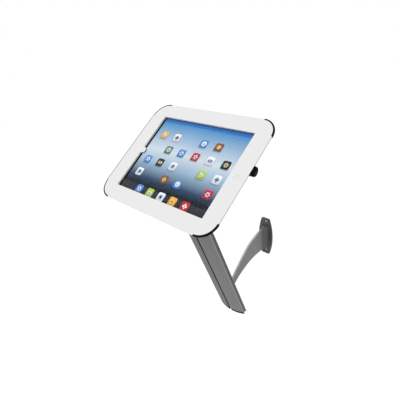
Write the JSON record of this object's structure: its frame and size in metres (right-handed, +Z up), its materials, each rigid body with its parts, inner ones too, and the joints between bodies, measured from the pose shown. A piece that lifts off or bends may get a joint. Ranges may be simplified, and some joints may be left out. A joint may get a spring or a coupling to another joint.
{
  "type": "tablet security kiosk stand",
  "caption": "Wall-mounted kiosk stand: a curved bracket carries a slotted grey post with a tilting, lockable white tablet enclosure with black corner guards.",
  "frame": {"origin": "middle of the wall plate's back face, where it meets the wall", "axes": "+Z up, +Y into the wall, -Y out to the user, +X to the right of the tablet's user"},
  "size_m": [0.2627, 0.3144, 0.4432],
  "materials": {
    "white_cover": "satin powder coat",
    "black_plastic": "fine grain",
    "home_key": "smooth",
    "black_steel": "fine textured powder coat",
    "post_grey": "satin anodised grey",
    "cast_grey": "satin paint over a casting",
    "steel": "zinc plated",
    "lock_metal": "polished",
    "friction": "pressed fibre",
    "foam": "closed cell foam",
    "tablet_aluminium": "bead blasted",
    "tablet_glass": "clear",
    "tablet_display": "lit panel",
    "tablet_battery": "foil pouch",
    "tablet_board": "solder mask",
    "tablet_black": "smooth"
  },
  "bodies": {
    "stand": {"wall_bracket": "cast_grey", "post": "post_grey", "slot_nut": "steel", "pad_screws": "steel", "post_head": "cast_grey", "head_bolt": "steel", "tilt_bolt": "steel", "tilt_nut": "steel", "friction_washers": "friction", "bolt_washers": "steel"},
    "enclosure": {"back_tray": "black_steel", "clinch_nuts": "steel", "corner_guard_lower_left": "black_plastic", "corner_guard_lower_right": "black_plastic", "corner_guard_upper_left": "black_plastic", "corner_guard_upper_right": "black_plastic", "cover_hooks": "black_steel", "edge_trim": "black_plastic", "foam_pads": "foam", "front_cover": "white_cover", "lock_housing": "black_plastic", "lock_keeper": "steel", "lock_screws": "steel", "plate_screws": "steel", "tablet_battery": "tablet_battery", "tablet_board": "tablet_board", "tablet_display": "tablet_display", "tablet_glass": "tablet_glass", "tablet_home_switch": "tablet_black", "tablet_shell": "tablet_aluminium", "tilt_plate": "cast_grey", "window_gasket": "foam"},
    "home_key": {"home_key": "home_key"},
    "tablet_button": {"tablet_home_button": "tablet_black"},
    "lock_barrel": {"lock_core": "lock_metal", "lock_cam": "steel", "cam_screw": "steel"}
  },
  "joints": [
    {"name": "tilt", "type": "hinge", "parent": "stand", "child": "enclosure", "pos_m": [0, -0.23742, 0.20904], "axis": [1, 0, 0], "range_deg": [-34, 35]},
    {"name": "lock_turn", "type": "hinge", "parent": "enclosure", "child": "lock_barrel", "pos_m": [0.126, -0.2151, 0.26526], "axis": [1, 0, 0], "range_deg": [0, 90]},
    {"name": "home_push", "type": "slide", "parent": "enclosure", "child": "home_key", "axis": [0, 0.5678, -0.8231], "range_m": [0, 0.0008], "stiffness_N_per_m": 1500, "springref_m": -0.0003},
    {"name": "tablet_button_push", "type": "slide", "parent": "enclosure", "child": "tablet_button", "axis": [0, 0.5678, -0.8231], "range_m": [0, 0.0008], "stiffness_N_per_m": 500, "springref_m": -0.0003}
  ],
  "couplings": [
    {"joint": "tablet_button_push", "follows": "home_push", "ratio": 1}
  ]
}
